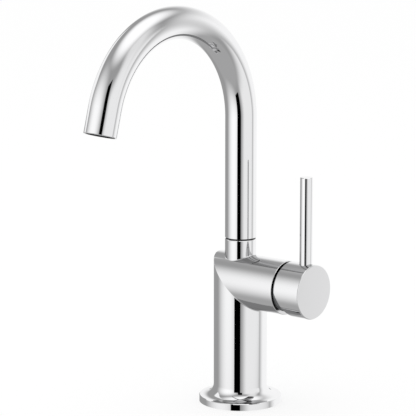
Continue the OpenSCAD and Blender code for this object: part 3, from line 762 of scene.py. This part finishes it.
def hole_sheet(reach, turn, cols, radius, axis, middle, centre_x, levels, base):
    """Loops from a window's edge to a round hole across the bar's axis, then down the hole's steps.

    The hole's rim lies on the bar: across the hole's axis it is a circle, so a rim point at bearing b
    lies r cos b along the bar and r sin b around it. Levels are pairs of a radius and a place along
    the hole's axis, on which the bar's axis lies at the base.
    """
    row, col = around(HUB_ROWS, cols)
    edge_x, edge_turn = reach[row, col], turn[col] - middle
    bearing = np.arctan2(radius * np.sin(edge_turn), edge_x - centre_x)
    hole = levels[0][0]
    rim_x = centre_x + hole * np.cos(bearing)
    rim_turn = np.arcsin(hole * np.sin(bearing) / radius)
    loops_turn = middle + steps(edge_turn, rim_turn, HOLE_STEPS)
    loops = about_x(steps(edge_x, rim_x, HOLE_STEPS), radius, loops_turn, axis)
    down = []
    for level_radius, height in levels:
        along = centre_x + level_radius * np.cos(bearing)
        across = level_radius * np.sin(bearing)
        out = height - base
        side = out * sin(middle) + across * cos(middle)
        up = -out * cos(middle) + across * sin(middle)
        down.append(np.stack([along, side, axis + up], -1))
    return sheet(np.concatenate([loops, np.stack(down)]))


def hub_sheets(size, bar_radius, axis):
    """Hub: the bright sheets of its side, face, lip and holes, and the one of its hollow and pocket.

    The lip starts at the same reach above the axis and leans back below it, by the depth below the
    axis times the tangent of the slant. The round side leaves two windows, for the lever's seat on
    top and for the set screw at the back, and loops close each window down to its round hole.
    """
    turn = turn_angles(HUB_TURNS)
    R, face, lip = bar_radius, HUB[1].x, HUB[0].x
    below = np.maximum(np.cos(turn), 0)

    def lip_at(radius):
        return lip + radius * below * tan(size.relief)

    # Side, from the lip's rounding to the rounding of the face
    start = lip_at(R) + size.lip_round
    edge = face - size.face_round
    first = lip + size.hollow_depth + STEP_BACK * smooth_step(*LOWER_SECTOR, np.cos(turn))
    second = np.full(HUB_TURNS, edge - FACE_BAND)
    lines = [start, first, second, np.full(HUB_TURNS, edge)]
    reach = rows_through(lines, (HUB_ROWS.start, HUB_ROWS.stop - HUB_ROWS.start, BAND_STEPS))
    skin = about_x(reach, R, turn, axis)
    sheets = [sheet(skin, windows=[(HUB_ROWS, LEVER_COLS), (HUB_ROWS, SCREW_COLS)])]

    # Face: the edge's rounding, then straight in to the middle
    rounding = arc((edge, R - size.face_round), size.face_round, 90, 0, FACE_STEPS)
    sheets.append(turned_sheet(about_x, rounding + [(face, 0.5 * R), (face, 0)], turn, axis))

    # Lip, hollow and pocket
    inner = R - size.lip_wall
    floor = lip + size.hollow_depth
    lip_x, lip_radius = np.array(arc((0, R - size.lip_round), size.lip_round, 90, 180, RIM_STEPS)).T
    lip_rounding = about_x(start + column(lip_x), column(lip_radius), turn, axis)
    inner_edge = about_x(lip_at(inner), inner, turn, axis)
    sheets.append(sheet(np.concatenate([lip_rounding, inner_edge[None]])))
    hollow = [inner_edge, about_x(np.full(HUB_TURNS, floor), inner, turn, axis)]
    pocket = pocket_outline(turn, STEM[1].y + size.slack, size.stem_half_height + size.slack)
    pocket_end = STEM[1].x + size.slack
    for depth, share in ((floor, 1), (pocket_end, 1), (pocket_end, 0)):
        side, up = share * pocket
        hollow.append(np.stack([np.full(HUB_TURNS, depth), side, axis + up], -1))

    # Holes for the lever and for the set screw
    seat = axis + R - size.lever_seat
    tail_hole = size.tail_radius + size.slack
    tail_end = ROD[0].z - size.tail_room
    seat_hole = size.lever_radius + size.slack
    levels = [(seat_hole, seat), (tail_hole, seat), (tail_hole, tail_end), (0, tail_end)]
    lever_x = (ROD[0].x + ROD[1].x) / 2
    sheets.append(hole_sheet(reach, turn, LEVER_COLS, R, axis, pi, lever_x, levels, axis))
    screw_x = (SCREW[0].x + SCREW[1].x) / 2
    screw_hole = (SCREW[1].x - SCREW[0].x) / 2 + size.slack
    screw_end = SCREW[0].y + size.screw_tip
    levels = [(screw_hole, screw_end), (0, screw_end)]
    sheets.append(hole_sheet(reach, turn, SCREW_COLS, R, axis, pi / 2, screw_x, levels, 0))
    return sheets, sheet(np.stack(hollow))


def lever_sheet(size, hub_top):
    """Lever rod: one profile turned about the rod's own upright axis, from its top down to its tail."""
    centre = ((ROD[0].x + ROD[1].x) / 2, 0)
    seat = hub_top - size.lever_seat
    profile = [
        (0, ROD[1].z),
        (size.lever_radius - size.lever_bevel, ROD[1].z),
        (size.lever_radius, ROD[1].z - size.lever_bevel),
        (size.lever_radius, seat),
        (size.tail_radius, seat),
        (size.tail_radius, ROD[0].z),
        (0, ROD[0].z),
    ]
    return turned_sheet(about_z, profile, turn_angles(LEVER_TURNS), centre)


class FAUCET_OT_handle(bpy.types.Operator):
    """Hub with its slanted lip, and the lever rod that stands on it"""

    bl_idname = "faucet.handle"
    bl_label = "Hub and lever"

    def execute(self, context):
        size, body = context.scene.faucet_handle, context.scene.faucet_body
        finish = context.scene.faucet_finish
        bright, hollow = hub_sheets(size, body.bar_radius, body.axis_height)
        chrome = chrome_plate("chrome_on_turned_hub", finish)
        # The hollow's lining is nearly black: painted shade behind the hub's lip
        painted_shade_brass = painted_shade_finish("painted_shade_hub_hollow", finish)
        slot, nodes = "chrome_plated_brass", ["handle_hub"]
        new_piece("hub_shell", bright, "handle", chrome, nodes, lining=painted_shade_brass, lined=[hollow])

        rod = lever_sheet(size, body.axis_height + body.bar_radius)
        chrome = chrome_plate("chrome_on_ground_rod", finish)
        new_piece("lever_shell", [rod], "handle", chrome, ["lever_rod"])
        return {"FINISHED"}


# ---- Finishes of the pieces that keep their CAD mesh ----


class FAUCET_OT_inner_finishes(bpy.types.Operator):
    """Brass, steel, rubber, acetal and ceramic on the pieces inside, each by its material slot"""

    bl_idname = "faucet.inner_finishes"
    bl_label = "Finishes of the inner pieces"

    def execute(self, context):
        finish = context.scene.faucet_finish
        materials = {
            # Warm yellow metal, satin from the turning tool
            "turned_brass": plain_finish("machined_brass", finish.brass, 0.28, 1.0),
            # Cool grey metal, a little duller than the chrome
            "turned_steel": plain_finish("machined_stainless_steel", finish.steel, 0.25, 1.0),
            # Nearly black, with a broad and dim highlight
            "black_rubber": plain_finish("moulded_nitrile_rubber", finish.rubber, 0.6),
            # Off-white plastic with a soft, waxy gloss
            "white_acetal": plain_finish("moulded_white_acetal", finish.white_acetal, 0.4),
            # Mid grey plastic with the same waxy gloss
            "grey_acetal": plain_finish("moulded_grey_acetal", finish.grey_acetal, 0.4),
            # Cream ceramic, ground so flat that it gleams
            "lapped_ceramic": plain_finish("lapped_alumina_ceramic", finish.ceramic, 0.15),
        }
        for part in frame["record"]["subparts"]:
            if part["material_slot"] in materials:
                mesh = frame["nodes"][part["node"]].data
                mesh.materials.clear()
                mesh.materials.append(materials[part["material_slot"]])
        return {"FINISHED"}


# ---- Stage ----

# The camera draws nothing nearer than this
CLIP_START = 0.05
# The floor reaches this far each way
FLOOR_HALF = 12.0
# Share of the floor that glows white for the camera; the rest shows the object's shadow
GLOW_SHARE = 0.7
LAMP_WIDTH = 1.6
LAMP_PLACE = (-0.3, -0.4, 1.8)


class Card(NamedTuple):
    """A panel around the faucet that only its mirror surfaces see, white, grey or black.

    The azimuth counts in degrees from the camera to its right, as seen from the column's axis, and
    the turn swings the panel about its own upright line. Lengths are in metres; soft is the width
    of the edge over which the panel fades out, and the level is its share of white.
    """

    name: str
    azimuth: float
    distance: float
    height: float
    turn: float
    half_width: float
    half_height: float
    soft: float
    level: float


CARDS = (
    Card("left_panel", -54, 1.60, 0.28, -10, 2.3, 2.3, 2.2, 1.06),
    Card("right_rear_panel", 150, 1.56, 0.00, -12, 2.4, 2.1, 1.5, 0.96),
    Card("near_left_panel", -115, 0.42, 0.33, -56, 0.21, 0.14, 0.05, 0.95),
    Card("right_panel", 64, 1.54, 0.10, -35, 1.6, 1.1, 0.7, 0.86),
    Card("upper_panel", 58, 1.53, 1.27, -6, 1.0, 1.2, 0.8, 0.77),
    Card("tall_flag", -14, 1.20, -0.10, 0, 0.30, 0.55, 0.04, 0.0),
    Card("high_flag", -2, 1.19, 0.71, 10, 0.23, 0.34, 0.06, 0.0),
)

# Levels that mirrors see past the cards, as shares of white
WALL_LEVEL = 0.33
GROUND_LEVEL = 0.38
SOFTBOX_LEVEL = 1.08
# Elevations in degrees between which the wall passes into the ground
GROUND_FADE = -36, -48
# The round softbox, in degrees: how far its middle leans, the way it leans from the camera to the
# right, and the angles from its middle between which it fades in
SOFTBOX_LEAN = 7
SOFTBOX_AZIMUTH = 105
SOFTBOX_FADE = 46, 14
# Share of its level that a reflection keeps when it is reflected again
MIRROR_KEEPS = 0.55


def place_camera(scene, studio):
    """Looks from the given azimuth and pitch at a point beside the column's axis."""
    az, pitch = studio.azimuth, studio.pitch
    back = Vector((sin(az) * cos(pitch), -cos(az) * cos(pitch), sin(pitch)))
    right = Vector((cos(az), sin(az), 0))
    up = back.cross(right)
    aim = Vector((0, 0, studio.aim_height)) - studio.aim_left * right
    data = bpy.data.cameras.new("camera")
    data.lens = studio.lens
    data.clip_start = CLIP_START
    camera = bpy.data.objects.new("camera", data)
    turned = Matrix((right, up, back)).transposed().to_4x4()
    camera.matrix_world = Matrix.Translation(aim + studio.distance * back) @ turned
    scene.collection.objects.link(camera)
    scene.camera = camera


def flat_card(name, half_width, half_height, material):
    """A flat rectangle in its own X and Y."""
    x, y = half_width, half_height
    mesh = bpy.data.meshes.new(name)
    mesh.from_pydata([(-x, -y, 0), (x, -y, 0), (x, y, 0), (-x, y, 0)], [], [(0, 1, 2, 3)])
    mesh.materials.append(material)
    card = bpy.data.objects.new(name, mesh)
    return card


def lay_floor(scene, studio):
    """A wide pale floor. It glows white for the camera and keeps part of the shadow."""
    material, tree = new_tree(bpy.data.materials.new("painted_pale_floor"))
    paint = add_node(tree, "BsdfDiffuse", {"Color": (*studio.floor, 1)})
    glow = add_node(tree, "Emission", {"Color": WHITE, "Strength": 1.0})
    camera_ray = add_node(tree, "LightPath").outputs["Is Camera Ray"]
    share = add_node(tree, "Math", {0: camera_ray, 1: GLOW_SHARE}, operation="MULTIPLY")
    mixed = add_node(tree, "MixShader", {0: share.outputs[0], 1: paint.outputs[0], 2: glow.outputs[0]})
    add_node(tree, "OutputMaterial", {"Surface": mixed.outputs[0]})
    floor = flat_card("floor", FLOOR_HALF, FLOOR_HALF, material)
    floor.visible_glossy = False
    scene.collection.objects.link(floor)


def hang_lamp(scene, studio):
    """One large soft lamp overhead, kept out of the mirror reflections."""
    data = bpy.data.lights.new("overhead_softbox", "AREA")
    data.shape = "DISK"
    data.size = LAMP_WIDTH
    data.energy = studio.lamp
    lamp = bpy.data.objects.new("overhead_softbox", data)
    lamp.location = LAMP_PLACE
    lamp.visible_glossy = False
    lamp.visible_camera = False
    scene.collection.objects.link(lamp)


def mirrored(tree, level):
    """The level as a first mirror sees it, and fainter in a reflection of a reflection.

    Real chromium reflects less than this plate does, and so its inner reflections are darker.
    """
    depth = add_node(tree, "LightPath").outputs["Glossy Depth"]
    share = add_node(tree, "Math", {0: MIRROR_KEEPS, 1: depth}, operation="POWER")
    first = add_node(tree, "Math", {0: share.outputs[0], 1: MIRROR_KEEPS}, operation="DIVIDE")
    seen = add_node(tree, "Math", {0: level, 1: first.outputs[0]}, operation="MULTIPLY")
    return seen.outputs[0]


def card_material(card):
    """An even glow that fades out towards the card's edges."""
    material, tree = new_tree(bpy.data.materials.new("studio_" + card.name))
    place = add_node(tree, "TexCoord")
    across = add_node(tree, "SeparateXYZ", {0: place.outputs["Object"]})
    shares = []
    for axis, half in (("X", card.half_width), ("Y", card.half_height)):
        away = add_node(tree, "Math", {0: across.outputs[axis]}, operation="ABSOLUTE")
        fade = {"Value": away.outputs[0], "From Min": half, "From Max": half - card.soft}
        share = add_node(tree, "MapRange", fade, interpolation_type="SMOOTHSTEP")
        shares.append(share.outputs["Result"])
    seen = add_node(tree, "Math", {0: shares[0], 1: shares[1]}, operation="MULTIPLY")
    clear = add_node(tree, "BsdfTransparent")
    glow = add_node(tree, "Emission", {"Color": WHITE, "Strength": mirrored(tree, card.level)})
    mixed = add_node(tree, "MixShader", {0: seen.outputs[0], 1: clear.outputs[0], 2: glow.outputs[0]})
    add_node(tree, "OutputMaterial", {"Surface": mixed.outputs[0]})
    return material


def hang_cards(scene, studio):
    """Hangs every panel where its line of CARDS says, turned towards the column and then by its turn."""
    for card in CARDS:
        panel = flat_card(card.name, card.half_width, card.half_height, card_material(card))
        panel.visible_camera = panel.visible_diffuse = panel.visible_shadow = False
        bearing = studio.azimuth + radians(card.azimuth)
        facing = bearing + radians(card.turn)
        panel.location = (card.distance * sin(bearing), -card.distance * cos(bearing), card.height)
        panel.rotation_euler = (pi / 2, 0, facing)
        scene.collection.objects.link(panel)


def studio_world(studio):
    """The white room. Mirrors see its grey walls and ground, and a white softbox almost straight above.

    The level passes from wall to ground with the height of the direction, and on to the softbox with
    the cosine of the angle from its middle.
    """
    world, tree = new_tree(bpy.data.worlds.new("studio"))
    way = add_node(tree, "TexCoord").outputs["Generated"]
    height = add_node(tree, "SeparateXYZ", {0: way}).outputs["Z"]
    wall_end, ground_start = (sin(radians(elevation)) for elevation in GROUND_FADE)
    down = {"Value": height, "From Min": wall_end, "From Max": ground_start}
    down |= {"To Min": WALL_LEVEL, "To Max": GROUND_LEVEL}
    room_level = add_node(tree, "MapRange", down, interpolation_type="SMOOTHSTEP")

    bearing, lean = studio.azimuth + radians(SOFTBOX_AZIMUTH), radians(SOFTBOX_LEAN)
    middle = (sin(lean) * sin(bearing), -sin(lean) * cos(bearing), cos(lean))
    nearness = add_node(tree, "VectorMath", {0: way, 1: middle}, operation="DOT_PRODUCT")
    box_edge, box_full = (cos(radians(away)) for away in SOFTBOX_FADE)
    fade = {"Value": nearness.outputs["Value"], "From Min": box_edge, "From Max": box_full}
    share = add_node(tree, "MapRange", fade, interpolation_type="SMOOTHSTEP")
    blend = {"Factor": share.outputs["Result"], "A": room_level.outputs["Result"], "B": SOFTBOX_LEVEL}
    level = add_node(tree, "Mix", blend, data_type="FLOAT")

    strengths = 1.0, mirrored(tree, level.outputs[0]), studio.room
    behind, reflected, room = (
        add_node(tree, "Background", {"Color": WHITE, "Strength": strength}).outputs[0]
        for strength in strengths
    )
    path = add_node(tree, "LightPath")
    straight = {0: path.outputs["Is Camera Ray"], 1: path.outputs["Is Transmission Ray"]}
    through = add_node(tree, "Math", straight, operation="MAXIMUM").outputs[0]
    mirror_ray = path.outputs["Is Glossy Ray"]
    lit = add_node(tree, "MixShader", {0: mirror_ray, 1: room, 2: reflected}).outputs[0]
    seen = add_node(tree, "MixShader", {0: through, 1: lit, 2: behind}).outputs[0]
    add_node(tree, "OutputWorld", {"Surface": seen})
    return world


class FAUCET_OT_stage(bpy.types.Operator):
    """Camera at the photograph's angle, pale floor, soft lamp and the white studio around it"""

    bl_idname = "faucet.stage"
    bl_label = "Stage"

    def execute(self, context):
        scene, studio = context.scene, context.scene.faucet_studio
        place_camera(scene, studio)
        lay_floor(scene, studio)
        hang_lamp(scene, studio)
        hang_cards(scene, studio)
        scene.world = studio_world(studio)
        scene.view_settings.view_transform = "Standard"
        return {"FINISHED"}


# ---- Panel, registration and the run itself ----

OPERATORS = (
    FAUCET_OT_body,
    FAUCET_OT_bonnet,
    FAUCET_OT_washer,
    FAUCET_OT_spout,
    FAUCET_OT_handle,
    FAUCET_OT_inner_finishes,
    FAUCET_OT_stage,
)


class FAUCET_PT_panel(bpy.types.Panel):
    """Lists the pieces and their sizes"""

    bl_idname = "FAUCET_PT_panel"
    bl_label = "Gooseneck bar faucet"
    bl_space_type = "VIEW_3D"
    bl_region_type = "UI"
    bl_category = "Faucet"

    def draw(self, context):
        for operator in OPERATORS:
            self.layout.operator(operator.bl_idname)
        for name, group in GROUPS.items():
            box = self.layout.box()
            box.label(text=group.__doc__)
            for key in group.__annotations__:
                box.prop(getattr(context.scene, name), key)


def register():
    for item in (*GROUPS.values(), *OPERATORS, FAUCET_PT_panel):
        bpy.utils.register_class(item)
    for name, group in GROUPS.items():
        setattr(bpy.types.Scene, name, bpy.props.PointerProperty(type=group))


def unregister():
    for name in GROUPS:
        delattr(bpy.types.Scene, name)
    for item in (FAUCET_PT_panel, *reversed(OPERATORS), *reversed(GROUPS.values())):
        bpy.utils.unregister_class(item)


def main():
    register()
    bpy.ops.faucet.body()
    bpy.ops.faucet.bonnet()
    bpy.ops.faucet.washer()
    bpy.ops.faucet.spout()
    bpy.ops.faucet.handle()
    bpy.ops.faucet.inner_finishes()
    bpy.ops.faucet.stage()


if __name__ == "__main__":
    main()
